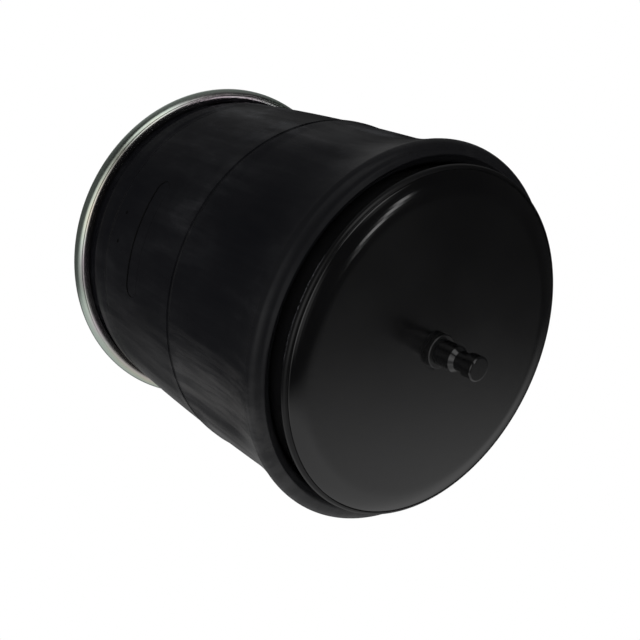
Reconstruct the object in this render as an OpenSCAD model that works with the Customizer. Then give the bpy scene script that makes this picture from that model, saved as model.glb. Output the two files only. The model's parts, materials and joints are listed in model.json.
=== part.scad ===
// Rolling-lobe air suspension spring with a steel piston, in millimetres.
// Z = 0 is the upper mounting face. The spring hangs down from it, as on the vehicle.
// It is drawn at its collapsed height, with the rubber lobe rolled down to the piston's foot.

/* [Overall] */
// Height from the upper mounting face down to the piston's base face
rest_height = 290.5; // [289:0.5:300]

/* [Upper bead plate] */
// Outside diameter of the rolled rim
rim_d = 287; // [285:1:291]
// Diameter of the roll, across its section
roll_d = 13; // [12.4:0.2:14]
// Thickness of the plate
plate_t = 2.5; // [2:0.1:2.8]
// Width of the sloping band between the flat mounting face and the middle of the roll
face_slope = 12; // [6:0.5:22]
// Depth of the roll's crown below the mounting face
rim_drop = 1; // [0.5:0.1:3]
// Angle that the lip turns inward, past the lowest point of the roll
lip_turn = 35; // [20:1:38]

/* [Mounting studs] */
// Diameter of a stud
stud_d = 12; // [8:0.5:16]
// Length of a stud above the mounting face
stud_length = 32; // [20:1:50]
// Distance between the two studs
stud_spacing = 157.5; // [150:0.5:180]
// Diameter of a stud's shoulder, which fills its hole in the plate
stud_shoulder_d = 14; // [13:0.5:17.5]
// Diameter of a stud's flat head, under the plate
stud_head_d = 24; // [20:1:30]
// Thickness of a stud's head
stud_head_t = 4; // [2:0.5:5]

/* [Air inlet] */
// Distance of the air inlet from the centre
inlet_offset = 73; // [70:1:85]
// Diameter of the inlet boss
inlet_d = 26; // [22:1:30]
// Height of the boss above the mounting face
inlet_height = 15; // [12:1:20]
// Tapping diameter of the boss's threaded hole
inlet_thread_d = 14.5; // [10:0.5:18]
// Depth of the threaded hole
inlet_thread_depth = 14; // [10:0.5:15]
// Diameter of the air passage below the thread
inlet_passage_d = 8; // [5:0.5:9]
// Diameter of the boss's flange, under the plate
inlet_flange_d = 34; // [31:1:38]
// Thickness of the boss's flange
inlet_flange_t = 3; // [2:0.5:4]

/* [Rubber sleeve] */
// Thickness of the rubber wall
sleeve_t = 5.5; // [4.5:0.1:5.8]
// Space between the sleeve's two walls beside the piston, at the waist line
fold_gap = 1.5; // [1:0.1:3]
// Height of the waist line above the piston's base face
waist_height = 133; // [120:1:150]
// How far the sleeve's wall falls in between its waist line and its upper shoulder
barrel_fall = 3.3; // [1:0.1:4]
// How far the sleeve stands out at its waist line
waist_ridge = 1; // [0.5:0.1:2]
// Height over which that ridge runs out into the sleeve, to each side
waist_spread = 15; // [8:1:24]
// Space between the sleeve's neck and the lip of the rolled rim
neck_gap = 0.8; // [0.4:0.1:3]
// Depth of the sleeve's upper shoulder below the mounting face
shoulder_depth = 25; // [22:0.5:30]
// Depth of the hollow round the sleeve, in from its outer face
hollow_inset = 0.7; // [0.3:0.1:1.2]
// Depth of the middle of that hollow below the mounting face
hollow_depth = 44; // [42:1:48]
// Height over which the hollow runs out, to each side
hollow_spread = 9; // [6:1:10]
// How far the rolled lobe stands out beyond the waist
lobe_bulge = 4.5; // [3:0.1:6]
// Height of the lobe's lowest point above the piston's base face
lobe_height = 20; // [20:0.5:25]
// Radius of the lobe's outer lower corner
lobe_corner_r = 6.4; // [6:0.1:7.4]
// Width of the lobe's flat underside
lobe_flat = 2.6; // [1:0.2:3.4]
// Angle at which the lobe's side leans in above its widest line
lobe_lean = 13; // [10:1:18]
// Width of the moulding line round the waist
waist_line_w = 1.8; // [1:0.1:2.4]
// Diameter of the upper bead's wire hoop, across its section
upper_wire_d = 3.6; // [3:0.2:4.4]
// Diameter of the lower bead's wire hoop, across its section
lower_wire_d = 5; // [4:0.2:6]
// Diameter of the lower bead, across its section
lower_bead_d = 12; // [10:0.5:13]
// Distance from the bumper's foot out to the circle on which the lower bead lies
lower_bead_room = 21; // [18:0.5:26]

/* [Piston] */
// Outside diameter of the piston's skirt
piston_d = 250; // [246:0.5:252]
// How far the piston's foot stands out beyond its skirt
foot_flare = 4; // [3:0.1:4.4]
// Radius of the rolled hem round the foot
hem_r = 2.8; // [2.4:0.1:3]
// How far the hem reaches down past the shell's seat, round the base plate's edge
hem_lap = 1.6; // [0.6:0.1:2]
// Height of the piston, from its base face to its top
piston_height = 190; // [170:1:194]
// Thickness of the piston's shell
shell_t = 2.5; // [2:0.1:3.5]
// Radius of the piston's shoulder
piston_shoulder = 25; // [16:1:32]
// Thickness of the base plate
base_t = 2.8; // [2.4:0.1:3.6]
// Width of the crowned band between the base plate's flat face and its edge
crown_w = 13.9; // [11:0.1:17]
// Radius of that crown, across the band
base_crown_r = 31; // [26:1:38]
// Radius of the base plate's edge
base_edge_r = 1.4; // [1:0.1:1.6]
// Outside diameter of the support tube inside the piston
tube_d = 70; // [56:1:90]
// Wall of the support tube
tube_t = 4; // [2:0.5:6]

/* [Locating pin] */
// Diameter of the pin's first step, next to the base
pin_d = 19; // [17:0.5:20]
// Length of the pin, from the base face to its end
pin_length = 39.5; // [37:0.5:46]
// Length of the first step, from the base face
pin_step = 19.5; // [18:0.5:21]
// Length of the bevel between the first step and the retaining groove
pin_bevel = 3; // [2:0.2:3.6]
// Smallest diameter, in the retaining groove
pin_groove_d = 14.4; // [13:0.2:15.4]
// Diameter of the head
pin_head_d = 18.2; // [16.6:0.1:19]
// Length of the head
pin_head_l = 9; // [7:0.5:11]
// Diameter of the spigot that passes through the base plate
pin_spigot_d = 12; // [8:0.5:14]
// Diameter of the collar round the pin's foot
pin_collar_d = 25.2; // [23.4:0.2:27]
// How far the collar stands out of the base face
pin_collar_h = 4.6; // [3:0.2:6]
// How far the pin's foot, inside the collar, is wider than its first step
pin_foot_step = 0.5; // [0.3:0.1:1]
// Diameter of the shallow seat round the pin in the base plate
pin_seat_d = 29; // [28:0.5:40]
// Depth of that seat
pin_seat_depth = 0.4; // [0.2:0.1:1]

/* [Lower bead plate and bolt] */
// Thickness of the lower bead plate
clamp_t = 4; // [3:0.5:5]
// Diameter of the centre bolt
bolt_d = 16; // [12:1:18]
// Length of the bolt below its head
bolt_length = 38; // [34:1:60]
// Wall of the weld nut
nut_wall = 8; // [6:0.5:12]
// Diameter of the sealing ring, across its section
seal_d = 3; // [2:0.2:4]
// Width of the bolt's hexagon, across its flats
bolt_hex = 24; // [20:1:28]
// Height of the bolt's head
bolt_head_h = 10; // [6:0.5:12]
// Thickness of the washer
washer_t = 3; // [2:0.5:4]
// Diameter of the washer
washer_d = 34; // [31:1:38]
// Height of the weld nut
nut_h = 14; // [10:1:18]

/* [Bumper] */
// Space between the bumper and the upper plate at the height above
bump_gap = 10; // [9.6:0.2:30]
// Diameter of the bumper at its base
bumper_d = 104; // [90:1:108]
// Diameter of the bumper at its top
bumper_top_d = 88; // [74:1:96]
// Depth of each groove round the bumper
bumper_groove = 5; // [2:0.5:8]
// Diameter of the bumper's central hole
bumper_hole_d = 40; // [36:1:50]
// Outside diameter of the bumper's retaining cup
cup_d = 62; // [56:1:66]
// Height of the retaining cup
cup_height = 20; // [16:1:24]
// Wall of the retaining cup
cup_t = 3; // [2:0.5:4]

/* [Hidden] */
$fn = 128;

paint_black = "#17181b";
rubber_black = "#26262a";
zinc = "#c6c8bf";
bare_steel = "#8f9396";
seal_black = "#1d1d1f";

// Clearances
move_gap = 0.3;
seat_gap = 0.1;
hole_gap = 0.1;
seam_gap = 0.3;
// Margin of a cut beyond the surface that it opens
cut = 1;

roll_r = roll_d / 2;
roll_centre_r = rim_d / 2 - roll_r;
roll_centre_z = -rim_drop - roll_r;
face_r = roll_centre_r - face_slope;
bead_r = roll_r - plate_t - seat_gap;

neck_r = roll_centre_r - roll_r * sin(lip_turn) - neck_gap;
neck_inner_r = neck_r - sleeve_t;
neck_corner = 4.5;
neck_top_z = roll_centre_z + bead_r - seat_gap;
neck_foot_z = roll_centre_z - roll_r - seat_gap;
shoulder_z = -shoulder_depth;
waist_z = waist_height - rest_height;
barrel_k = barrel_fall / pow(shoulder_z - waist_z, 2);

hollow_z = -hollow_depth;

skirt_r = piston_d / 2;
hem_centre_r = skirt_r + foot_flare - hem_r;
plate_edge_r = hem_centre_r - seam_gap;
base_flat_r = plate_edge_r - crown_w;
shell_seat_h = crown_height(skirt_r - shell_t, base_crown_r - base_t);

wall_in_r = skirt_r + move_gap;
barrel_r = wall_in_r + 2 * sleeve_t + fold_gap;
lobe_r = barrel_r + lobe_bulge;
lobe_z = lobe_height - rest_height;
outer_fold_centre = [lobe_r - lobe_corner_r, lobe_z + lobe_corner_r];
inner_fold_r = lobe_r - wall_in_r - lobe_corner_r - lobe_flat;
inner_fold_centre = [wall_in_r + inner_fold_r, lobe_z + inner_fold_r];
// The side leaves the corner at the lean angle, and runs out into the barrel
flank_r = outer_fold_centre[0] + lobe_corner_r * cos(lobe_lean);
flank_z = outer_fold_centre[1] + lobe_corner_r * sin(lobe_lean);
flank_bulge = flank_r - barrel(flank_z);
fade_z = flank_z + 2 * flank_bulge / (tan(lobe_lean) + 2 * barrel_k * (waist_z - flank_z));

piston_top_z = piston_height - rest_height;
sleeve_top_z = piston_top_z + move_gap;
wrap_r = piston_shoulder + move_gap;
wrap_centre_r = skirt_r - piston_shoulder;
wrap_centre_z = piston_top_z - piston_shoulder;
lower_bead_r = lower_bead_d / 2;
lower_circle_r = bumper_d / 2 + lower_bead_room;
lower_bead_z = sleeve_top_z + lower_bead_r;

clamp_r = lower_circle_r + lower_bead_r + 1;
clamp_flat_r = bumper_d / 2 + 6;
clamp_rise = lower_bead_d + 2 * move_gap;
clamp_lip = 3;
clamp_z = piston_top_z + clamp_t;
cup_r = cup_d / 2;
cup_lip = 4;
cup_lip_h = 4;
washer_z = clamp_z + cup_t;
head_z = washer_z + washer_t;
bumper_height = -plate_t - bump_gap - clamp_z;
nut_r = bolt_d / 2 + hole_gap + nut_wall;
seal_circle_r = bolt_d / 2 + seal_d / 2 + seat_gap;
seal_z = piston_top_z - shell_t - seal_d / 2 - seat_gap;

// Points of an arc round [r, z], from one angle to another
function arc(r, z, radius, from, to, steps) =
    [for (i = [0:steps]) let (a = from + (to - from) * i / steps)
        [r + radius * cos(a), z + radius * sin(a)]];

// Height of the base plate's crowned face at radius r, for a crown of the given radius
function crown_height(r, radius) =
    base_crown_r - sqrt(pow(radius, 2) - pow(r - base_flat_r, 2));

// Evenly spaced numbers from one to another, without the last
function spaced(from, to, count) = [for (i = [0:count - 1]) from + (to - from) * i / count];

// Smooth swell, 1 at its middle and 0 from the given distance on
function swell(z, middle, spread) = let (t = min(1, abs(z - middle) / spread))
    1 - t * t * (3 - 2 * t);

// Radius of the sleeve's outer face where nothing but its barrel shapes it
function barrel(z) = barrel_r - barrel_k * pow(z - waist_z, 2);

// The same with the ridge at the waist, the hollow below the shoulder and the lobe
function side_r(z) = barrel(z) + waist_ridge * swell(z, waist_z, waist_spread)
    - hollow_inset * swell(z, hollow_z, hollow_spread)
    + flank_bulge * pow(max(0, fade_z - z) / (fade_z - flank_z), 2);

// Heights from the sleeve's upper shoulder down to the lobe's side
side_heights = concat(
    [shoulder_z],
    spaced(hollow_z + hollow_spread, hollow_z - hollow_spread, 8),
    spaced(hollow_z - hollow_spread, waist_z + waist_spread, 4),
    spaced(waist_z + waist_spread, waist_z - waist_spread, 10),
    spaced(waist_z - waist_spread, fade_z, 2),
    spaced(fade_z, flank_z, 8),
    [flank_z]);

// Outer face of the sleeve's side, or the same curve moved in by the wall's thickness
function sleeve_side(inset) = [for (z = side_heights) [side_r(z) - inset, z]];

// Round the fold, up the piston's side, over its shoulder and in to the lower bead
function sleeve_fold(inset) = concat(
    arc(outer_fold_centre[0], outer_fold_centre[1], lobe_corner_r - inset, 0, -90, 6),
    arc(inner_fold_centre[0], inner_fold_centre[1], inner_fold_r - inset, -90, -180, 6),
    arc(wrap_centre_r, wrap_centre_z, wrap_r + inset, 0, 90, 8),
    [[lower_circle_r, sleeve_top_z + inset]]);

function reversed(list) = [for (i = [len(list) - 1:-1:0]) list[i]];

module ring_section() {
    rotate_extrude() children();
}

module from_base() {
    translate([0, 0, -rest_height]) children();
}

// Triangular fillet of weld in the corner between a face at z = 0 and a post of radius r
module weld_fillet(r, leg) {
    ring_section() polygon([[r, 0], [r + leg, 0], [r + 0.45 * leg, 0.4 * leg], [r, leg]]);
}

// Bead plate with the outer edge rolled under, round the sleeve's bead
module upper_bead_plate() {
    lip_angle = 90 + lip_turn;
    wedge = 2 * roll_d;
    color(zinc) difference() {
        ring_section() union() {
            polygon([[0, -plate_t], [face_r, -plate_t], [roll_centre_r, -rim_drop - plate_t],
                [roll_centre_r, -rim_drop], [face_r, 0], [0, 0]]);
            translate([roll_centre_r, roll_centre_z]) difference() {
                circle(r = roll_r);
                circle(r = roll_r - plate_t);
                polygon([[0, 0], [0, wedge], [-wedge, wedge], [-wedge, -wedge],
                    [-wedge * sin(lip_turn), -wedge * cos(lip_turn)]]);
            }
        }
        stud_places() translate([0, 0, -plate_t - cut])
            cylinder(d = stud_shoulder_d + 2 * hole_gap, h = plate_t + 2 * cut);
        inlet_place() translate([0, 0, -plate_t - cut])
            cylinder(d = inlet_d + 2 * hole_gap, h = plate_t + 2 * cut);
    }
}

module stud_places() {
    for (side = [-1, 1]) translate([side * stud_spacing / 2, 0, 0]) children();
}

module inlet_place() {
    translate([0, inlet_offset, 0]) children();
}

// Studs with a flat head under the plate, a flush shoulder and a chamfered end
module mounting_studs() {
    tip = 0.12 * stud_d;
    root = 0.5;
    color(zinc) stud_places() ring_section() polygon([
        [0, -plate_t - stud_head_t], [stud_head_d / 2, -plate_t - stud_head_t],
        [stud_head_d / 2, -plate_t], [stud_shoulder_d / 2, -plate_t],
        [stud_shoulder_d / 2, -seat_gap], [stud_d / 2, root], [stud_d / 2, stud_length - tip],
        [stud_d / 2 - tip, stud_length], [0, stud_length]]);
}

module stud_weld_beads() {
    color(bare_steel) stud_places() translate([0, 0, -plate_t]) mirror([0, 0, 1])
        weld_fillet(stud_head_d / 2, 0.7 * stud_head_t);
}

// Round boss through the plate, tapped from above and drilled through
module air_inlet_boss() {
    rim = 1.2;
    color(zinc) inlet_place() difference() {
        ring_section() polygon([
            [0, -plate_t - inlet_flange_t], [inlet_flange_d / 2, -plate_t - inlet_flange_t],
            [inlet_flange_d / 2, -plate_t], [inlet_d / 2, -plate_t],
            [inlet_d / 2, inlet_height - rim], [inlet_d / 2 - rim, inlet_height],
            [0, inlet_height]]);
        translate([0, 0, inlet_height - inlet_thread_depth])
            cylinder(d = inlet_thread_d, h = inlet_thread_depth + cut);
        translate([0, 0, -plate_t - inlet_flange_t - cut])
            cylinder(d = inlet_passage_d, h = plate_t + inlet_flange_t + inlet_height);
    }
}

module inlet_weld_bead() {
    color(bare_steel) inlet_place() translate([0, 0, -plate_t]) mirror([0, 0, 1])
        weld_fillet(inlet_flange_d / 2, 0.7 * inlet_flange_t);
}

module upper_bead_hoop() {
    color(bare_steel) ring_section() translate([roll_centre_r, roll_centre_z])
        circle(d = upper_wire_d);
}

// Sleeve: bead in the rolled rim, neck, barrel, lobe, wall on the piston, lower bead
module bellows() {
    outer = concat(sleeve_side(0), sleeve_fold(0));
    inner = concat(sleeve_side(sleeve_t), sleeve_fold(sleeve_t));
    neck = [[roll_centre_r, neck_top_z], [neck_inner_r + neck_corner, neck_top_z],
        [neck_inner_r, neck_top_z - neck_corner], [neck_inner_r, neck_foot_z]];
    throat = [[neck_r, neck_foot_z], [neck_r, roll_centre_z - 0.6 * bead_r],
        [roll_centre_r, roll_centre_z]];
    color(rubber_black) ring_section() difference() {
        union() {
            polygon(concat(neck, inner, reversed(outer), throat));
            translate([roll_centre_r, roll_centre_z]) circle(r = bead_r);
            translate([lower_circle_r, lower_bead_z]) circle(r = lower_bead_r);
        }
        translate([roll_centre_r, roll_centre_z]) circle(d = upper_wire_d + 2 * seat_gap);
        translate([lower_circle_r, lower_bead_z]) circle(d = lower_wire_d + 2 * move_gap);
        translate([barrel_r + waist_ridge, waist_z]) circle(d = waist_line_w);
    }
}

// Drawn shell: rolled hem round the foot, straight skirt, round shoulder and flat top
module piston_shell() {
    hem_turn = 60;
    hem_z = shell_seat_h - hem_lap + hem_r;
    hem_end_r = hem_centre_r + hem_r * cos(hem_turn);
    hem_end_z = hem_z + hem_r * sin(hem_turn);
    top_hole = bolt_d + 2 * hole_gap;
    outer = concat(
        [[hem_centre_r, shell_seat_h]],
        arc(hem_centre_r, hem_z, hem_r, -90, hem_turn, 10),
        [[skirt_r, hem_end_z + (hem_end_r - skirt_r) / tan(hem_turn)]],
        arc(skirt_r - piston_shoulder, piston_height - piston_shoulder, piston_shoulder, 0, 90, 8),
        [[0, piston_height]]);
    inner = concat(
        [[0, piston_height - shell_t]],
        arc(skirt_r - piston_shoulder, piston_height - piston_shoulder,
            piston_shoulder - shell_t, 90, 0, 8),
        [[skirt_r - shell_t, shell_seat_h]]);
    color(paint_black) from_base() difference() {
        ring_section() polygon(concat(outer, inner));
        translate([0, 0, piston_height - shell_t - cut]) cylinder(d = top_hole, h = shell_t + 2 * cut);
    }
}

// Base plate: flat face, crowned outer band with a small edge radius, and a seat on its
// inner side for the shell. It has a shallow seat for the pin and a hole for its spigot.
module piston_base_plate() {
    edge_turn = asin((crown_w - base_edge_r) / (base_crown_r - base_edge_r));
    edge_z = base_crown_r - (base_crown_r - base_edge_r) * cos(edge_turn);
    inner_turn = asin((skirt_r - shell_t - base_flat_r) / (base_crown_r - base_t));
    color(paint_black) from_base() difference() {
        ring_section() polygon(concat([[0, 0]],
            arc(base_flat_r, base_crown_r, base_crown_r, -90, edge_turn - 90, 8),
            arc(plate_edge_r - base_edge_r, edge_z, base_edge_r, edge_turn - 90, 0, 5),
            [[plate_edge_r, shell_seat_h]],
            arc(base_flat_r, base_crown_r, base_crown_r - base_t, inner_turn - 90, -90, 6),
            [[0, base_t]]));
        translate([0, 0, -cut]) cylinder(d = pin_seat_d, h = pin_seat_depth + cut);
        translate([0, 0, -cut]) cylinder(d = pin_spigot_d + 2 * hole_gap, h = base_t + 2 * cut);
    }
}

// Turned pin: spigot, foot, first step, bevel, retaining groove, and a head with a round edge
module locating_pin() {
    edge = 1.2;
    groove_r = pin_groove_d / 2;
    head_r = pin_head_d / 2;
    head_z = pin_head_l - pin_length;
    spigot_top = base_t + 1.2;
    foot_r = pin_d / 2 + pin_foot_step;
    foot_z = -pin_collar_h - seat_gap;
    color(paint_black) from_base() ring_section()
        polygon(concat([[0, spigot_top], [pin_spigot_d / 2, spigot_top],
            [pin_spigot_d / 2, pin_seat_depth], [foot_r, pin_seat_depth], [foot_r, foot_z],
            [pin_d / 2, foot_z], [pin_d / 2, -pin_step], [groove_r, -pin_step - pin_bevel],
            [groove_r, head_z + edge], [head_r - edge / 3, head_z], [head_r, head_z - edge / 3]],
            arc(head_r - edge, edge - pin_length, edge, 0, -90, 4), [[0, -pin_length]]));
}

// Collar pressed on the pin's foot and seated in the base plate, with a small bevel
module pin_collar() {
    bevel = 0.6;
    bore_r = pin_d / 2 + pin_foot_step;
    rim_r = pin_collar_d / 2;
    color(paint_black) from_base() ring_section() polygon([[bore_r, pin_seat_depth],
        [rim_r, pin_seat_depth], [rim_r, bevel - pin_collar_h], [rim_r - bevel, -pin_collar_h],
        [bore_r, -pin_collar_h]]);
}

// Tube between the base plate and the underside of the piston's top
module support_tube() {
    color(bare_steel) from_base() translate([0, 0, base_t]) difference() {
        cylinder(d = tube_d, h = piston_height - shell_t - base_t);
        translate([0, 0, -cut]) cylinder(d = tube_d - 2 * tube_t, h = piston_height);
    }
}

// Pressed plate that clamps the lower bead on the piston's top
module lower_bead_plate() {
    slope_r = lower_circle_r - lower_bead_r - 1.5;
    top = piston_top_z + clamp_rise;
    color(zinc) ring_section() polygon([
        [bolt_d / 2 + hole_gap, piston_top_z], [clamp_flat_r, piston_top_z], [slope_r, top],
        [clamp_r, top], [clamp_r, top - clamp_lip], [clamp_r + clamp_t, top - clamp_lip],
        [clamp_r + clamp_t, top + 1], [clamp_r + 1, top + clamp_t],
        [slope_r - 2, top + clamp_t], [clamp_flat_r - 2, clamp_z],
        [bolt_d / 2 + hole_gap, clamp_z]]);
}

module lower_bead_hoop() {
    color(bare_steel) ring_section() translate([lower_circle_r, lower_bead_z])
        circle(d = lower_wire_d);
}

module centre_bolt() {
    color(zinc) union() {
        translate([0, 0, head_z]) cylinder(d = bolt_hex / cos(30), h = bolt_head_h, $fn = 6);
        translate([0, 0, head_z - bolt_length]) cylinder(d = bolt_d, h = bolt_length);
    }
}

module bolt_washer() {
    color(zinc) translate([0, 0, washer_z]) difference() {
        cylinder(d = washer_d, h = washer_t);
        translate([0, 0, -cut]) cylinder(d = bolt_d + 2 * hole_gap, h = washer_t + 2 * cut);
    }
}

// Soft ring in a groove between the bolt and the nut, under the piston's top
module bolt_sealing_ring() {
    color(seal_black) ring_section() translate([seal_circle_r, seal_z]) circle(d = seal_d);
}

// Round weld nut under the piston's top, with a seat for the sealing ring
module weld_nut() {
    seat_r = seal_circle_r + seal_d / 2 + seat_gap;
    seat_h = seal_d + 2 * seat_gap;
    color(bare_steel) translate([0, 0, piston_top_z - shell_t - nut_h]) difference() {
        cylinder(r = nut_r, h = nut_h);
        translate([0, 0, -cut]) cylinder(d = bolt_d + 2 * hole_gap, h = nut_h + 2 * cut);
        translate([0, 0, nut_h - seat_h]) cylinder(r = seat_r, h = seat_h + cut);
    }
}

// Cup under the bolt's washer, with a lip that holds the bumper
module bumper_retainer() {
    lip_z = clamp_z + cup_height - cup_lip_h;
    color(zinc) ring_section() polygon([
        [bolt_d / 2 + hole_gap, clamp_z], [cup_r, clamp_z], [cup_r, lip_z],
        [cup_r + cup_lip, lip_z], [cup_r + cup_lip, lip_z + 1], [cup_r, clamp_z + cup_height],
        [cup_r - cup_t, clamp_z + cup_height], [cup_r - cup_t, clamp_z + cup_t],
        [bolt_d / 2 + hole_gap, clamp_z + cup_t]]);
}

// Rubber bump stop with two grooves, a hollow for the cup and a central hole
module bumper() {
    base_r = bumper_d / 2;
    top_r = bumper_top_d / 2;
    edge = 4;
    lip_z = cup_height - cup_lip_h;
    hollow_top = cup_height + 2;
    groove_half = 7;
    color(seal_black) translate([0, 0, clamp_z]) ring_section() difference() {
        polygon([[bumper_hole_d / 2, hollow_top], [cup_r + seat_gap, hollow_top],
            [cup_r + cup_lip + seat_gap, lip_z + 1 + seat_gap],
            [cup_r + cup_lip + seat_gap, lip_z - seat_gap],
            [cup_r + seat_gap, lip_z - seat_gap], [cup_r + seat_gap, 0], [base_r, 0],
            [base_r, edge], [top_r, bumper_height - edge], [top_r - edge, bumper_height],
            [bumper_hole_d / 2, bumper_height]]);
        for (share = [0.36, 0.66]) {
            z = share * bumper_height;
            r = base_r + (top_r - base_r) * share;
            polygon([[r - bumper_groove, z], [r + edge, z - groove_half - edge],
                [r + edge, z + groove_half + edge]]);
        }
    }
}

upper_bead_plate();
mounting_studs();
stud_weld_beads();
air_inlet_boss();
inlet_weld_bead();
upper_bead_hoop();
bellows();
piston_shell();
piston_base_plate();
locating_pin();
pin_collar();
support_tube();
lower_bead_plate();
lower_bead_hoop();
centre_bolt();
bolt_washer();
bolt_sealing_ring();
weld_nut();
bumper_retainer();
bumper();
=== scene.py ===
"""Looks of the air suspension spring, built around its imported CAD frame."""

import json
import math

import bmesh
import bpy
from mathutils import Matrix, Vector

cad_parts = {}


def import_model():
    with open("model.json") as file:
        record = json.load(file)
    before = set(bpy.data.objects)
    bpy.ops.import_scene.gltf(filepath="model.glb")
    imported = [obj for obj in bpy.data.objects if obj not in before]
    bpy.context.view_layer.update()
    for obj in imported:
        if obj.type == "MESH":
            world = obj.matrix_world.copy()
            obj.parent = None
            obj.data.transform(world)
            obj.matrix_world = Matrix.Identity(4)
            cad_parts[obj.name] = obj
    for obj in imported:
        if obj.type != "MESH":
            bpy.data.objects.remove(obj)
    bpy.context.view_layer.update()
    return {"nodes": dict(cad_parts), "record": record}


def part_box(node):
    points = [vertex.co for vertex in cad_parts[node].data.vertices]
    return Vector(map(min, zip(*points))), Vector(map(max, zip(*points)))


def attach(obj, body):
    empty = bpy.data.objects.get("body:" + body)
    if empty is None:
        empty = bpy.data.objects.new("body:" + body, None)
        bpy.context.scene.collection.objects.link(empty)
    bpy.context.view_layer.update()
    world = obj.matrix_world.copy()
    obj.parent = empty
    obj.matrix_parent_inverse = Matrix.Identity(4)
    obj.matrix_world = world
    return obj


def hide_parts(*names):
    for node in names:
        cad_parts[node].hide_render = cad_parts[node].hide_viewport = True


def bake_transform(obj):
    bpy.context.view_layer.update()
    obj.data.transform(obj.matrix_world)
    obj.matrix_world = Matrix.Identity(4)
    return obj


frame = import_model()
nodes = frame["nodes"]
MM = 0.001


def reach(node):
    """Outer radius of a round node about the part's axis."""
    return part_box(node)[1].x


# Gaps between pieces, as in the CAD model
move_gap = 0.3 * MM
seat_gap = 0.1 * MM

# Piston: places from the frame, and driving dimensions as in the CAD model
base_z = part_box("piston_base_plate")[0].z
piston_top_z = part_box("piston_shell")[1].z
foot_r = reach("piston_shell")
foot_flare = 4 * MM
skirt_r = foot_r - foot_flare
piston_shoulder = 25 * MM
hem_r = 2.8 * MM
hem_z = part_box("piston_shell")[0].z + hem_r

# Rolled rim of the upper plate, and the sleeve's bead in it, likewise
rim_r = reach("upper_bead_plate")
plate_t = 2.5 * MM
roll_r = 6.5 * MM
rim_drop = 1 * MM
face_slope = 12 * MM
lip_turn = math.radians(35)
neck_gap = 0.8 * MM
roll_centre_r = rim_r - roll_r
roll_z = -rim_drop - roll_r
face_r = roll_centre_r - face_slope
bead_r = roll_r - plate_t - seat_gap
neck_r = roll_centre_r - roll_r * math.sin(lip_turn) - neck_gap
neck_foot_z = roll_z - roll_r - seat_gap

# Sleeve, likewise
lobe_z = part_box("bellows")[0].z
lobe_r = reach("bellows")
sleeve_t = 5.5 * MM
wall_in_r = skirt_r + move_gap
lobe_bulge = 4.5 * MM
barrel_r = lobe_r - lobe_bulge
waist_z = base_z + 133 * MM
waist_ridge = 1 * MM
waist_spread = 15 * MM
shoulder_z = -25 * MM
barrel_fall = 3.3 * MM
lobe_corner_r = 6.4 * MM
lobe_flat = 2.6 * MM
lobe_lean = math.radians(13)
lower_bead_r = 6 * MM
lower_wire_r = 2.5 * MM
lower_circle_r = reach("lower_bead_hoop") - lower_wire_r

# Forms of the sleeve that are crisper here than on the solid
hollow_z = -44.5 * MM
hollow_inset = 1.1 * MM
hollow_spread = 6 * MM
line_half = 2.2 * MM
line_depth = 2.7 * MM
draw_in_z = -29 * MM

# Camera: the photograph's, from a fit of the object's outline
BASE_IN_CAMERA = Vector((0.08181, -0.02081, -0.62768))
AXIS_IN_CAMERA = Vector((-0.60948, 0.31047, -0.72948)).normalized()
LENS_MM = 50.62
SENSOR_MM = 36


def camera_axes():
    """Rotation from the part's frame to the camera's, with the camera on the part's -Y side."""
    x_axis = BASE_IN_CAMERA.cross(AXIS_IN_CAMERA).normalized()
    y_axis = AXIS_IN_CAMERA.cross(x_axis)
    return Matrix((x_axis, y_axis, AXIS_IN_CAMERA)).transposed()


FROM_CAMERA = camera_axes().transposed()
CAMERA_AT = Vector((0, 0, base_z)) - FROM_CAMERA @ BASE_IN_CAMERA


def make_camera():
    data = bpy.data.cameras.new("camera")
    data.lens = LENS_MM
    data.sensor_width = SENSOR_MM
    data.clip_start = 0.01
    data.clip_end = 20
    cam = bpy.data.objects.new("camera", data)
    cam.matrix_world = Matrix.Translation(CAMERA_AT) @ FROM_CAMERA.to_4x4()
    bpy.context.scene.collection.objects.link(cam)
    bpy.context.scene.camera = cam


make_camera()


# Directions round the part's axis
def outward(angle):
    """Level direction at an angle in radians."""
    return Vector((math.cos(angle), math.sin(angle), 0))


def around(degrees):
    return outward(math.radians(degrees))


# Sides of the sleeve as seen: where dust dulls its shine, where a pale bloom lies, and where it is
# streaked, with painted light from below on that side. The hem's paint is rubbed through on a
# fourth side.
DULL_SIDE = FROM_CAMERA @ Vector((-0.30, 0.92, -0.25))
DULL_SIDE.z = 0
DULL_SIDE.normalize()
TOP_SIDE = around(-22)
LOW_SIDE = around(-140)
HEM_WEAR = around(-96)


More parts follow.
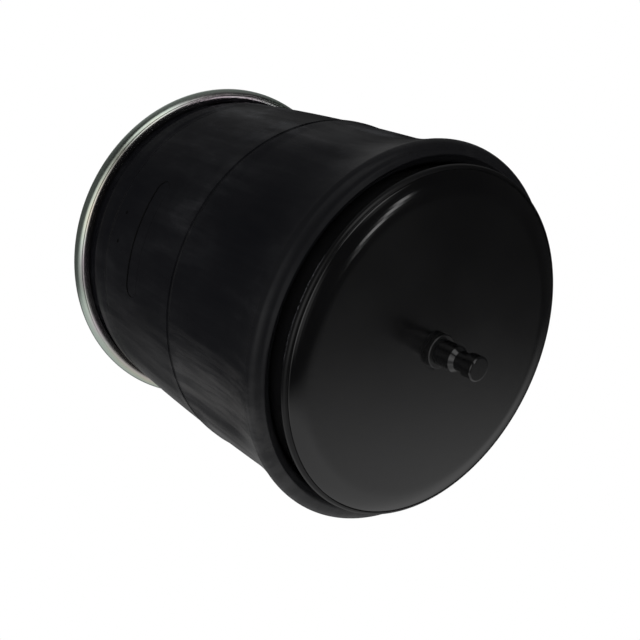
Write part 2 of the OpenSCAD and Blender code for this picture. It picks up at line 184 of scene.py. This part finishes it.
# Node helpers
class Shader:
    """A node tree with short calls for what the materials repeat."""

    def __init__(self, tree):
        self.tree = tree
        tree.nodes.clear()

    def add(self, kind, inputs=None, **settings):
        node = self.tree.nodes.new(kind)
        for name, value in settings.items():
            setattr(node, name, value)
        for name, value in (inputs or {}).items():
            self.set(node.inputs[name], value)
        return node

    def set(self, socket, value):
        if isinstance(value, bpy.types.NodeSocket):
            self.tree.links.new(value, socket)
        elif isinstance(value, bpy.types.Node):
            self.tree.links.new(value.outputs[0], socket)
        else:
            socket.default_value = value

    def math(self, operation, a, b=0.0):
        return self.add("ShaderNodeMath", {0: a, 1: b}, operation=operation)

    def plus(self, a, b):
        return self.math("ADD", a, b)

    def times(self, a, b):
        return self.math("MULTIPLY", a, b)

    def dot(self, vector, direction):
        return self.add("ShaderNodeVectorMath", {0: vector, 1: direction},
                        operation="DOT_PRODUCT").outputs["Value"]

    def height(self, place):
        return self.add("ShaderNodeSeparateXYZ", {0: place}).outputs["Z"]

    def radius(self, place):
        """Distance from the part's axis."""
        level = self.add("ShaderNodeVectorMath", {0: place, 1: (1, 1, 0)}, operation="MULTIPLY")
        return self.add("ShaderNodeVectorMath", {0: level}, operation="LENGTH").outputs["Value"]

    def ramp(self, value, *stops):
        node = self.add("ShaderNodeValToRGB", {"Fac": value})
        row = node.color_ramp.elements
        while len(row) < len(stops):
            row.new(0.5)
        for element, (place, colour) in zip(row, stops):
            element.position = place
            element.color = (*colour, 1)
        return node

    def spread(self, value, low, high, to_low=0.0, to_high=1.0, ease=True):
        """Maps low..high to to_low..to_high, with an eased or a straight course."""
        return self.add("ShaderNodeMapRange",
                        {"Value": value, "From Min": low, "From Max": high,
                         "To Min": to_low, "To Max": to_high},
                        interpolation_type="SMOOTHSTEP" if ease else "LINEAR")

    def noise(self, vector, scale, detail=3.0, rough=0.5):
        return self.add("ShaderNodeTexNoise",
                        {"Vector": vector, "Scale": scale, "Detail": detail, "Roughness": rough})

    def stretch(self, vector, scale):
        return self.add("ShaderNodeMapping", {"Vector": vector, "Scale": scale})

    def mix(self, share, a, b):
        node = self.add("ShaderNodeMix", data_type="RGBA")
        self.set(node.inputs["Factor"], share)
        self.set(node.inputs[6], a)
        self.set(node.inputs[7], b)
        return node.outputs[2]

    def bump(self, height, strength, distance):
        return self.add("ShaderNodeBump",
                        {"Height": height, "Strength": strength, "Distance": distance})

    def surface(self, **inputs):
        """Principled surface. An input's name has _ for each space."""
        return self.add("ShaderNodeBsdfPrincipled",
                        {name.replace("_", " "): value for name, value in inputs.items()})


def material(name, build):
    made = bpy.data.materials.new(name)
    made.use_nodes = True
    shader = Shader(made.node_tree)
    out = shader.add("ShaderNodeOutputMaterial")
    place = shader.add("ShaderNodeTexCoord").outputs["Object"]
    shader.set(out.inputs["Surface"], build(shader, place))
    return made


def grey(v):
    return (v, v, v)


# Materials
def rubber(s, place):
    """Sleeve rubber: a dull moulded skin under a weak shine, with dust in patches and streaking.
    The lower side's streaking is partly painted light, and the fold's lowest part is painted
    lighter as painted light.
    """
    patches = s.noise(s.stretch(place, (1, 1, 0.7)), 16, 7, 0.60)
    drawn = s.noise(s.stretch(place, (1, 1, 0.09)), 70, 5, 0.65)
    smeared = s.noise(s.stretch(place, (1, 1, 0.5)), 34, 6, 0.62)
    dust = s.mix(0.40, patches, drawn)
    height = s.height(place)

    def toward(direction, start, full, low=0.0, high=1.0):
        """Rises towards one side, between two shares of the lobe's radius."""
        return s.spread(s.dot(place, direction), start * lobe_r, full * lobe_r, low, high)

    above_lobe = s.spread(height, lobe_z + 22 * MM, lobe_z + 50 * MM)
    bloom = s.times(toward(TOP_SIDE, 0.74, 0.97), s.spread(smeared, 0.50, 0.70))
    below_waist = s.spread(height, waist_z - 20 * MM, waist_z + 10 * MM, 1.0, 0.25)
    # Painted light: the pale streaking by the lower outline is part dust and part the light from
    # below, painted into the tone
    streaks_and_painted_light = s.times(toward(LOW_SIDE, 0.87, 0.98), s.spread(drawn, 0.42, 0.68))
    # Painted light: an even, lighter tone for the fold's lowest part, in its crease by the piston
    fold_underside_painted_light = s.spread(height, lobe_z + 3 * MM, lobe_z + 16 * MM, 0.75, 0.0)
    tone = s.ramp(dust, (0.36, (0.0044, 0.0045, 0.0056)), (0.50, (0.0056, 0.0057, 0.0068)),
                  (0.58, (0.0078, 0.0080, 0.0092)), (0.68, (0.018, 0.018, 0.020)))
    tone = s.mix(s.times(bloom, above_lobe), tone, (0.026, 0.027, 0.030, 1))
    # Painted light, with dust: the lower side painted paler
    tone = s.mix(s.times(streaks_and_painted_light, below_waist), tone, (0.034, 0.033, 0.033, 1))
    # Painted light: the fold's lowest part, in the crease by the piston, is given an even, lighter
    # tone
    tone = s.mix(fold_underside_painted_light, tone, (0.0080, 0.0081, 0.0090, 1))

    shine = s.plus(toward(DULL_SIDE, -0.95, 0.45, 0.55, 0.10),
                   toward(TOP_SIDE, 0.80, 0.97, 0.0, 0.14))
    shine = s.times(shine, s.spread(dust, 0.38, 0.64, 0.85, 1.35))
    # The fold is smoother, most where it nears the outline
    fold = s.spread(height, lobe_z + 10 * MM, lobe_z + 45 * MM, 0.8, 0.0)
    ends = s.plus(toward(LOW_SIDE, 0.30, 0.85, 0.0, 0.55), toward(TOP_SIDE, 0.70, 0.95, 0.0, 1.40))
    shine = s.times(shine, s.plus(s.times(fold, ends), 1.0))
    return s.surface(Base_Color=tone, Coat_Weight=shine, Coat_Roughness=0.25,
                     Roughness=s.ramp(dust, (0.40, grey(0.60)), (0.66, grey(0.75))),
                     Specular_IOR_Level=0.0, Normal=s.bump(s.noise(place, 900, 2), 0.2, 0.2 * MM))


def painted_shade_mark_rubber(s, place):
    """Rubber of the thin moulded marks, free of the bloom that pales the skin round them, and
    painted darker than the skin as painted shade.
    """
    fine = s.noise(place, 500, 2)
    return s.surface(Base_Color=s.ramp(fine, (0.3, grey(0.0024)), (0.7, grey(0.0036))),
                     Roughness=0.8, Specular_IOR_Level=0.0, Normal=s.bump(fine, 0.2, 0.2 * MM))


def dull_rubber(s, place):
    fine = s.noise(place, 600, 3)
    return s.surface(Base_Color=s.ramp(fine, (0.3, grey(0.012)), (0.7, grey(0.020))),
                     Roughness=0.75, Normal=s.bump(fine, 0.3, 0.3 * MM))


def gloss_paint(s, place):
    """Paint of the base plate and its pin, glossiest on the plate's crowned edge."""
    soft = s.noise(place, 14, 3)
    r = s.radius(place)
    crowned = s.spread(r, 107 * MM, 113 * MM, 0.19, 0.075)
    rough = s.plus(crowned, s.spread(soft, 0.3, 0.7, 0.0, 0.04))
    # By the axis, the pin is glossier than the plate and the collar at its foot is duller
    by_axis = s.spread(r, 12.5 * MM, 13.5 * MM, 1.0, 0.0)
    pin_or_collar = s.spread(s.height(place), base_z - 6 * MM, base_z - 5 * MM, -0.11, 0.22)
    rough = s.plus(rough, s.times(pin_or_collar, by_axis))
    tone = s.ramp(soft, (0.35, (0.0020, 0.0020, 0.0022)), (0.7, (0.0030, 0.0030, 0.0032)))
    return s.surface(Base_Color=tone, Roughness=rough, Specular_IOR_Level=0.6,
                     Normal=s.bump(s.noise(place, 260, 2), 0.06, 0.3 * MM))


def satin_paint(s, place):
    """Paint of the shell, thinner than the base plate's, and rubbed through on its hem."""
    soft = s.noise(place, 18, 4, 0.6)
    rubbed = s.noise(s.stretch(place, (1, 1, 4)), 420, 4, 0.7)
    height = s.height(place)
    worn = s.times(s.spread(height, hem_z - 0.4 * MM, hem_z + 0.1 * MM),
                   s.spread(height, hem_z + 0.8 * MM, hem_z + 1.5 * MM, 1.0, 0.0))
    worn = s.times(worn, s.spread(s.dot(place, HEM_WEAR), 0.955 * foot_r, 0.985 * foot_r))
    worn = s.times(worn, s.spread(rubbed, 0.46, 0.62))
    tone = s.ramp(soft, (0.35, (0.0030, 0.0030, 0.0032)), (0.7, (0.0050, 0.0050, 0.0053)))
    return s.surface(Base_Color=s.mix(worn, tone, (0.11, 0.11, 0.12, 1)),
                     Roughness=s.spread(soft, 0.3, 0.7, 0.16, 0.26),
                     Metallic=s.times(worn, 0.6), Specular_IOR_Level=0.22,
                     Normal=s.bump(s.noise(place, 300, 2), 0.08, 0.3 * MM))


def zinc(s, place):
    """Zinc with a thin passivate: greener outside the rolled rim, redder inside it, and duller
    on the flat face and its fittings."""
    fine = s.noise(s.stretch(place, (1, 1, 6)), 300, 3)
    r = s.radius(place)
    tone = s.ramp(s.noise(place, 11, 3), (0.34, (0.64, 0.59, 0.45)), (0.46, (0.56, 0.61, 0.54)),
                  (0.56, (0.63, 0.54, 0.58)), (0.68, (0.48, 0.59, 0.50)))
    greener = s.spread(r, roll_centre_r + 1 * MM, rim_r)
    redder = s.times(s.spread(r, roll_centre_r - 8 * MM, roll_centre_r - 4 * MM),
                     s.spread(r, roll_centre_r + 1 * MM, roll_centre_r + 3 * MM, 0.5, 0.0))
    tone = s.mix(greener, tone, (0.47, 0.55, 0.49, 1))
    tone = s.mix(redder, tone, (0.60, 0.53, 0.58, 1))
    return s.surface(Base_Color=tone, Metallic=s.spread(r, face_r, face_r + 7 * MM, 0.55, 1.0),
                     Roughness=s.ramp(fine, (0.3, grey(0.20)), (0.7, grey(0.27))),
                     Normal=s.bump(fine, 0.05, 0.1 * MM))


def steel(s, place):
    fine = s.noise(place, 200, 4)
    return s.surface(Base_Color=s.ramp(fine, (0.3, grey(0.30)), (0.7, grey(0.42))),
                     Metallic=1.0, Roughness=0.4, Normal=s.bump(fine, 0.15, 0.2 * MM))


MATERIALS = {name: material(name, build) for name, build in (
    ("sleeve_rubber", rubber),
    ("mould_mark_painted_shade", painted_shade_mark_rubber),
    ("bumper_rubber", dull_rubber),
    ("black_paint", gloss_paint),
    ("black_paint_satin", satin_paint),
    ("zinc_plate", zinc),
    ("bare_steel", steel),
)}


def finish_with(piece, slot, look=None):
    """Gives a piece its slot's own material or another look of it."""
    piece.data.materials.clear()
    piece.data.materials.append(MATERIALS[look or slot])


for part in frame["record"]["subparts"]:
    finish_with(nodes[part["node"]], part["material_slot"],
                "black_paint_satin" if part["node"] == "piston_shell" else None)


# Mesh helpers
SAME_POINT = 1e-7
SAME_RADIUS = 1e-6
SHARP_FROM = math.radians(35)
ROUND = 2 * math.pi


def arc(r, z, radius, start, end, steps):
    """Points [r, z] of an arc from one angle to another, in degrees."""
    angles = (math.radians(start + (end - start) * i / steps) for i in range(steps + 1))
    return [(r + radius * math.cos(a), z + radius * math.sin(a)) for a in angles]


def heights(start, end, step):
    """Even heights from one to another, about a step apart."""
    count = max(1, round(abs(end - start) / step))
    return [start + (end - start) * i / count for i in range(count + 1)]


def finished_mesh(name, verts, faces, slot, look=None):
    mesh = bpy.data.meshes.new(name)
    mesh.from_pydata(verts, [], faces)
    form = bmesh.new()
    form.from_mesh(mesh)
    bmesh.ops.remove_doubles(form, verts=form.verts, dist=SAME_POINT)
    bmesh.ops.dissolve_degenerate(form, edges=form.edges, dist=SAME_POINT)
    bmesh.ops.recalc_face_normals(form, faces=form.faces)
    form.to_mesh(mesh)
    form.free()
    mesh.validate()
    mesh.shade_smooth()
    mesh.set_sharp_from_angle(angle=SHARP_FROM)
    piece = bpy.data.objects.new(name, mesh)
    bpy.context.scene.collection.objects.link(piece)
    finish_with(piece, slot, look)
    return piece


def lathe(name, outline, slot, turns=384, shape=None, centre=(0, 0), look=None):
    """Turns a closed outline of [r, z] points round an upright line. shape(r, z, angle) may
    move a point."""
    verts, faces = [], []
    count = len(outline)
    for i in range(turns):
        angle = ROUND * i / turns
        for r, z in outline:
            if shape:
                r, z = shape(r, z, angle)
            verts.append((centre[0] + r * math.cos(angle), centre[1] + r * math.sin(angle), z))
    for i in range(turns):
        a, b = i * count, (i + 1) % turns * count
        for j in range(count):
            k = (j + 1) % count
            faces.append((a + j, b + j, b + k, a + k))
    return finished_mesh(name, verts, faces, slot, look)


# Sleeve, in three pieces
outer_join_z = base_z + 62 * MM
inner_join_z = base_z + 40 * MM
barrel_k = barrel_fall / (shoulder_z - waist_z) ** 2
outer_fold = (lobe_r - lobe_corner_r, lobe_z + lobe_corner_r)
inner_fold_r = lobe_r - wall_in_r - lobe_corner_r - lobe_flat
inner_fold = (wall_in_r + inner_fold_r, lobe_z + inner_fold_r)


def barrel(z):
    return barrel_r - barrel_k * (z - waist_z) ** 2


# The lobe's side leans in from its corner and runs out into the barrel at fade_z
flank_r = outer_fold[0] + lobe_corner_r * math.cos(lobe_lean)
flank_z = outer_fold[1] + lobe_corner_r * math.sin(lobe_lean)
flank_bulge = flank_r - barrel(flank_z)
fade_z = flank_z + 2 * flank_bulge / (math.tan(lobe_lean) + 2 * barrel_k * (waist_z - flank_z))


def swell(z, middle, spread):
    """Smooth swell, 1 at its middle and 0 from the given distance on."""
    t = min(1.0, abs(z - middle) / spread)
    return 1 - t * t * (3 - 2 * t)


def side_r(z):
    """Radius of the sleeve's outer face at a height."""
    fade = max(0.0, fade_z - z) / (fade_z - flank_z)
    return (barrel(z) + waist_ridge * swell(z, waist_z, waist_spread)
            - hollow_inset * swell(z, hollow_z, hollow_spread) + flank_bulge * fade ** 2)


def side(inset, start, end, step):
    return [(side_r(z) - inset, z) for z in heights(start, end, step)]


def waist_line():
    """Moulded groove at the waist, half an ellipse deep."""
    angles = (math.radians(a) for a in range(90, -91, -15))
    ellipse = ((line_depth * math.cos(a), waist_z + line_half * math.sin(a)) for a in angles)
    return [(side_r(z) - depth, z) for depth, z in ellipse]


def sleeve_neck(steps=14):
    """From the bead, in behind the rim's lip, and in an eased course out to the side."""
    tucked_r, tucked_z = neck_r - 0.9 * MM, neck_foot_z - 1 * MM
    out_by, down_by = side_r(draw_in_z) - tucked_r, draw_in_z - tucked_z
    neck = [(neck_r, roll_z - 0.6 * bead_r), (tucked_r, roll_z - roll_r + 0.5 * MM)]
    for i in range(steps + 1):
        share = i / steps
        neck.append((tucked_r + out_by * (1 - math.cos(math.pi * share)) / 2,
                     tucked_z + down_by * share))
    return neck


def sleeve_barrel():
    """From the bead in the rolled rim down to the top of the lobe."""
    step, inside_step = 1.5 * MM, 6 * MM
    off_line = line_half + 0.3 * MM
    above = side(0, draw_in_z, waist_z + off_line, step)[1:]
    below = side(0, waist_z - off_line, outer_join_z, step)
    inside = side(sleeve_t, outer_join_z, shoulder_z - 4 * MM, inside_step)
    throat = [(neck_r - sleeve_t, neck_foot_z), (neck_r - sleeve_t, roll_z)]
    bead = arc(roll_centre_r, roll_z, bead_r, 150, -140, 24)
    return inside + throat + bead + sleeve_neck() + above + waist_line() + below


def sleeve_lobe():
    """The rolled fold, between the joins to the barrel and to the wall on the piston."""
    flat = [(outer_fold[0] - lobe_flat * i / 4, lobe_z) for i in range(1, 4)]
    outer = (side(0, outer_join_z, flank_z, 1.5 * MM)
             + arc(*outer_fold, lobe_corner_r, math.degrees(lobe_lean) - 2, -90, 20) + flat
             + arc(*inner_fold, inner_fold_r, -90, -180, 24) + [(wall_in_r, inner_join_z)])
    inner = (side(sleeve_t, outer_join_z, flank_z, 3 * MM)
             + arc(*outer_fold, lobe_corner_r - sleeve_t, 0, -90, 6)
             + arc(*inner_fold, inner_fold_r - sleeve_t, -90, -180, 8)
             + [(wall_in_r + sleeve_t, inner_join_z)])
    return outer + inner[::-1]


def fold_inward(r, z, angle):
    """Draws the fold's lowest line in towards the piston and raises a second crest beside it,
    both most on the photographed side."""
    draw_in, drawn_height, drawn_width = 2.0 * MM, 12 * MM, 1.6
    crest_drop, crest_place, crest_width = 2.4 * MM, 0.86, 0.16
    t = (r - wall_in_r) / (lobe_r - lobe_corner_r - wall_in_r)
    low = 1 - min(1.0, max(0.0, (z - lobe_z) / drawn_height))
    if not 0 < t < drawn_width or low <= 0:
        return r, z

    def near(degrees):
        return (0.5 + 0.5 * math.cos(angle - math.radians(degrees))) ** 2

    share = math.sin(math.pi * min(1.0, t / drawn_width)) * low
    crest = math.exp(-((t - crest_place) / crest_width) ** 2) * low
    return r - draw_in * share * near(-80), z - crest_drop * crest * near(-62)


def sleeve_wall():
    """Up the piston's side, over its shoulder and in to the lower bead."""
    centre = (skirt_r - piston_shoulder, piston_top_z - piston_shoulder)
    wrap_r = piston_shoulder + move_gap
    bead_z = piston_top_z + move_gap + lower_bead_r
    up = heights(inner_join_z, centre[1], 4 * MM)
    near = [(wall_in_r, z) for z in up] + arc(*centre, wrap_r, 4, 90, 20)
    far = [(wall_in_r + sleeve_t, z) for z in up] + arc(*centre, wrap_r + sleeve_t, 4, 86, 20)
    return near + arc(lower_circle_r, bead_z, lower_bead_r, -90, -330, 20) + far[::-1]


def on_side(angle, z, off=0.0):
    """Place on the sleeve's side, or off it by a distance."""
    return (side_r(z) + off) * outward(angle) + Vector((0, 0, z))


def racetrack(middle, half_turn, low_z, top_z):
    """Points [angle, z] on the sleeve's side, round a long field with round ends."""
    end_r, mid_z = (top_z - low_z) / 2, (top_z + low_z) / 2
    end_turn = end_r / barrel_r
    straight = half_turn - end_turn
    path = []
    for way in (1, -1):
        path += [(middle + way * straight * (i / 30 - 1), mid_z + way * end_r)
                 for i in range(61)]
        path += [(middle + way * (straight + end_turn * math.sin(a)),
                  mid_z + way * end_r * math.cos(a))
                 for a in (math.pi * i / 14 for i in range(1, 14))]
    return path


def moulded_outline():
    """Thin raised line round the plain moulded field on the sleeve, thicker along its top."""
    low_z, top_z = base_z + 186 * MM, base_z + 201 * MM
    thin, thicker_by, sunk, sides = 0.26 * MM, 0.50 * MM, 0.2 * MM, 8
    mid_z, half_height = (top_z + low_z) / 2, (top_z - low_z) / 2
    path = racetrack(math.radians(-98.2), math.radians(19.6), low_z, top_z)
    points = [on_side(angle, z, -sunk) for angle, z in path]
    count = len(points)
    verts, faces = [], []
    for i, (point, (angle, z)) in enumerate(zip(points, path)):
        ahead = (points[(i + 1) % count] - points[i - 1]).normalized()
        out = outward(angle)
        across = ahead.cross(out).normalized()
        line_r = thin + thicker_by * max(0.0, (z - mid_z) / half_height)
        for a in (ROUND * j / sides for j in range(sides)):
            verts.append(point + line_r * (math.cos(a) * across + math.sin(a) * out))
    for i in range(count):
        a, b = i * sides, (i + 1) % count * sides
        faces += [(a + j, b + j, b + (j + 1) % sides, a + (j + 1) % sides)
                  for j in range(sides)]
    # The line's rubber is painted darker, as painted shade along it
    return finished_mesh("sleeve_moulded_outline", verts, faces, "sleeve_rubber", "mould_mark_painted_shade")


def vent_mark(name, degrees):
    """Small domed mark that a mould vent leaves."""
    angle, sides = math.radians(degrees), 20
    middle, out = on_side(angle, base_z + 227 * MM, -0.1 * MM), outward(angle)
    level, up = outward(angle + math.pi / 2), Vector((0, 0, 1))
    # Radius and height of the dome's section, in millimetres
    dome = [(1.5, -0.5), (1.5, 0.0), (1.35, 0.22), (1.0, 0.38), (0.5, 0.46), (0.0, 0.48)]
    verts = [middle + MM * (r * (math.cos(a) * level + math.sin(a) * up) + h * out)
             for r, h in dome for a in (ROUND * i / sides for i in range(sides))]
    faces = [tuple(range(sides - 1, -1, -1))]
    for i in range(len(dome) - 1):
        a, b = i * sides, (i + 1) * sides
        faces += [(a + j, a + (j + 1) % sides, b + (j + 1) % sides, b + j)
                  for j in range(sides)]
    # The mark's rubber is painted darker, as painted shade
    return finished_mesh(name, verts, faces, "sleeve_rubber", "mould_mark_painted_shade")


def stretched(piece):
    """Bakes a piece's place into its mesh."""
    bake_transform(piece)


def sleeve():
    """Builds the sleeve's moulded marks and its three pieces, and hides the CAD bellows."""
    for mark in (moulded_outline(), vent_mark("vent_mark_a", -102.8),
                 vent_mark("vent_mark_b", -92.9)):
        stretched(mark)
    body = lathe("sleeve_barrel", sleeve_barrel(), "sleeve_rubber")
    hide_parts("bellows")
    stretched(body)
    lobe = lathe("sleeve_lobe", sleeve_lobe(), "sleeve_rubber", shape=fold_inward)
    stretched(lobe)
    wall = lathe("sleeve_piston_wall", sleeve_wall(), "sleeve_rubber")
    stretched(wall)


sleeve()


# Piston's hem and the upper plate
def shell_hem():
    """Smooth skin over the hem rolled round the piston's foot."""
    skin, sunk = 0.05 * MM, 0.6 * MM
    outline = (arc(foot_r - hem_r, hem_z, hem_r + skin, -88, 75, 48)
               + arc(foot_r - hem_r, hem_z, hem_r - sunk, 75, -88, 12))
    piece = lathe("shell_hem", outline, "black_paint", look="black_paint_satin")
    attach(piece, "piston_assembly")


def rim_out(turn):
    """Radius of the rolled rim's section at an angle in degrees, with the crease and the land
    that crimping leaves."""
    depth, crease_at, land_end = 0.14 * MM, 68, 114
    crease = math.exp(-((turn - crease_at) / 3.0) ** 2)
    rise = min(1.0, max(0.0, (turn - crease_at) / 9))
    fall = min(1.0, max(0.0, (land_end - turn) / 10))
    return roll_r - depth * crease + depth * rise * fall


def bead_plate():
    """Upper plate: flat face, sloping edge and rolled rim, which ends under the bead."""
    edge = 3 * MM
    face = [(0, 0), (face_r - edge, 0), (face_r - edge / 3, -0.02 * MM),
            (face_r + edge, -0.22 * MM)]
    outer = [(roll_centre_r + rim_out(a) * math.cos(math.radians(a)),
              roll_z - rim_out(a) * math.sin(math.radians(a)))
             for a in (-90 + 1.5 * i for i in range(144))]
    inner = arc(roll_centre_r, roll_z, roll_r - plate_t, -125, 90, 48)
    piece = lathe("bead_plate", face + outer + inner + [(face_r, -plate_t), (0, -plate_t)],
                  "zinc_plate")
    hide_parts("upper_bead_plate")
    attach(piece, "upper_assembly")


shell_hem()
bead_plate()


# Studs and air inlet, with the threads that the CAD keeps as plain cylinders
def threaded(surface_r, deep, pitch, low, high):
    """Shape for lathe that cuts a thread into a cylinder, running out at both ends. A depth
    below 0 cuts outward, for a bore."""
    crest, flank_span = 0.12, 0.70

    def shape(r, z, angle):
        if abs(r - surface_r) > SAME_RADIUS or not low < z < high:
            return r, z
        phase = (z / pitch - angle / ROUND) % 1.0
        flank = min(1.0, max(0.0, (1 - abs(2 * phase - 1) - crest) / flank_span))
        return r - deep * flank * min(1.0, (z - low) / pitch, (high - z) / pitch), z
    return shape


# Rows of points along one turn of a thread
THREAD_ROWS = 9


def studs():
    low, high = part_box("mounting_studs")
    head_top = low.z + 4 * MM
    stud_r, shoulder_r, head_r = 6 * MM, 7 * MM, 12 * MM
    bevel, tip, pitch = 0.6 * MM, 1.44 * MM, 1.75 * MM
    shank = heights(0.5 * MM, high.z - tip, pitch / THREAD_ROWS)
    outline = ([(0, low.z), (head_r - bevel, low.z), (head_r, low.z + bevel),
                (head_r, head_top), (shoulder_r, head_top), (shoulder_r, -0.1 * MM)]
               + [(stud_r, z) for z in shank] + [(stud_r - tip, high.z), (0, high.z)])
    cut = threaded(stud_r, 1.07 * MM, pitch, 2.5 * MM, high.z - 0.2 * MM)
    for name, way in (("stud_left", -1), ("stud_right", 1)):
        piece = lathe(name, outline, "zinc_plate", 72, cut, (way * (high.x - head_r), 0))
        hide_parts("mounting_studs")
        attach(piece, "upper_assembly")


def inlet():
    low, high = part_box("air_inlet_boss")
    flange_r, flange_top = (high.x - low.x) / 2, low.z + 3 * MM
    boss_r, bore_r, passage_r = 13 * MM, 7.25 * MM, 4 * MM
    bevel, rim, mouth, pitch = 0.5 * MM, 1.2 * MM, 0.9 * MM, 1.5 * MM
    floor_z = high.z - 14 * MM
    bore = heights(high.z - 0.8 * MM, floor_z + 0.2 * MM, pitch / THREAD_ROWS)
    outline = ([(passage_r, low.z), (flange_r - bevel, low.z), (flange_r, low.z + bevel),
                (flange_r, flange_top), (boss_r, flange_top), (boss_r, high.z - rim),
                (boss_r - rim, high.z), (bore_r + mouth, high.z)]
               + [(bore_r, z) for z in bore] + [(bore_r, floor_z), (passage_r, floor_z)])
    cut = threaded(bore_r, -0.8 * MM, pitch, floor_z + 2.5 * MM, high.z + pitch)
    piece = lathe("air_inlet", outline, "zinc_plate", 72, cut, (0, (low.y + high.y) / 2))
    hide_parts("air_inlet_boss")
    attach(piece, "upper_assembly")


studs()
inlet()


# Stage: world and floor, with directions given in the camera's axes
TABLE_DOWN = (0, -0.92, -0.39)
TABLE_BACK = (0, 0.39, -0.92)
TABLE_LEVEL = 0.60
PLAIN_LIGHT_FROM = (0.10, -0.90, 0.42)
PLAIN_LEVEL = (0.60, 1.40)
ROOM_LEVEL = 0.025
# Each soft light: direction, where it starts and where it is full, as cosines, and its strength
SOFT_LIGHTS = (
    ((0.05, 0.96, -0.26), 0.550, 0.967, 0.16),
    ((-0.29, 0.63, -0.72), 0.830, 1.074, 0.30),
    ((-0.08, -0.16, 0.98), 0.850, 1.030, 1.25),
    ((-0.30, -0.57, 0.77), 0.764, 1.012, 0.40),
    ((0.29, 0.56, 0.78), 0.925, 0.990, 1.35),
    ((0.64, 0.33, 0.69), 0.950, 0.995, 1.15),
    ((-0.17, -0.22, -0.96), 0.955, 0.995, 0.25),
    ((0.34, -0.34, 0.88), 0.934, 1.009, 0.57),
    ((-1.00, 0.00, 0.00), 0.100, 0.900, 0.08),
)
# The light strip: its two ends, half its width as a sine, and its strength
STRIP_ENDS = ((0.905, -0.36, 0.24), (0.93, 0.02, 0.37))
STRIP_HALF = 0.045
STRIP_LEVEL = 3.0


def world():
    """Glossy rays meet the table and the lights, diffuse rays a plain course of light, and
    camera rays plain white."""
    made = bpy.data.worlds.new("studio")
    bpy.context.scene.world = made
    made.use_nodes = True
    s = Shader(made.node_tree)
    place = s.add("ShaderNodeTexCoord").outputs["Generated"]

    def along(direction):
        return s.dot(place, FROM_CAMERA @ Vector(direction).normalized())

    def strip():
        start, end = (Vector(tip).normalized() for tip in STRIP_ENDS)
        middle, across = (start + end).normalized(), start.cross(end).normalized()
        tip_cosine = start.dot(middle)
        beside = s.math("ABSOLUTE", along(across))
        shape = s.times(s.spread(beside, 0.25 * STRIP_HALF, STRIP_HALF, 1.0, 0.0),
                        s.spread(along(middle), tip_cosine, 0.3 + 0.7 * tip_cosine))
        return s.times(shape, STRIP_LEVEL)

    def light(strength):
        return s.add("ShaderNodeBackground", {"Color": (1, 1, 1, 1), "Strength": strength})

    level = s.times(s.spread(along(TABLE_DOWN), 0.37, 0.58, 0.0, TABLE_LEVEL),
                    s.spread(along(TABLE_BACK), 0.00, 0.65, 1.0, 0.14))
    for direction, start, full, strength in SOFT_LIGHTS:
        level = s.plus(level, s.spread(along(direction), start, full, 0.0, strength))
    level = s.plus(s.plus(level, strip()), ROOM_LEVEL)
    plain = s.spread(along(PLAIN_LIGHT_FROM), -1, 1, *PLAIN_LEVEL, ease=False)

    rays = s.add("ShaderNodeLightPath")
    lit = s.add("ShaderNodeMixShader",
                {0: rays.outputs["Is Diffuse Ray"], 1: light(level), 2: light(plain)})
    seen = s.math("MAXIMUM", rays.outputs["Is Camera Ray"], rays.outputs["Is Transmission Ray"])
    both = s.add("ShaderNodeMixShader", {0: seen, 1: lit, 2: light(1.0)})
    out = s.add("ShaderNodeOutputWorld")
    s.set(out.inputs["Surface"], both)
    made.cycles.sampling_method = "NONE"


world()


def floor():
    """Pale round floor below the spring, fading out into the white behind it."""
    radius, fade, level_z = 0.42, 0.26, -0.80
    rings, turns = 24, 96
    verts, faces = [(0, 0, level_z)], []
    for i in range(1, rings + 1):
        for j in range(turns):
            a = ROUND * j / turns
            r = radius * i / rings
            verts.append((r * math.cos(a), r * math.sin(a), level_z))
    for j in range(turns):
        k = (j + 1) % turns
        faces.append((0, 1 + j, 1 + k))
        for i in range(rings - 1):
            a = 1 + i * turns
            faces.append((a + j, a + turns + j, a + turns + k, a + k))
    mesh = bpy.data.meshes.new("floor")
    mesh.from_pydata(verts, [], faces)
    piece = bpy.data.objects.new("floor", mesh)
    bpy.context.scene.collection.objects.link(piece)

    def pale(s, place):
        cloth = s.add("ShaderNodeBsdfDiffuse", {"Color": (0.86, 0.86, 0.86, 1)})
        glow = s.add("ShaderNodeEmission", {"Color": (1, 1, 1, 1), "Strength": 0.18})
        seen = s.add("ShaderNodeAddShader", {0: cloth, 1: glow})
        rays = s.add("ShaderNodeLightPath")
        body = s.add("ShaderNodeMixShader", {0: rays.outputs["Is Camera Ray"], 1: cloth, 2: seen})
        clear = s.add("ShaderNodeBsdfTransparent")
        open_to = s.math("MAXIMUM", s.spread(s.radius(place), fade, radius),
                         rays.outputs["Is Glossy Ray"])
        return s.add("ShaderNodeMixShader", {0: open_to, 1: body, 2: clear})

    mesh.materials.append(material("floor", pale))


floor()

bpy.context.scene.view_settings.view_transform = "Standard"
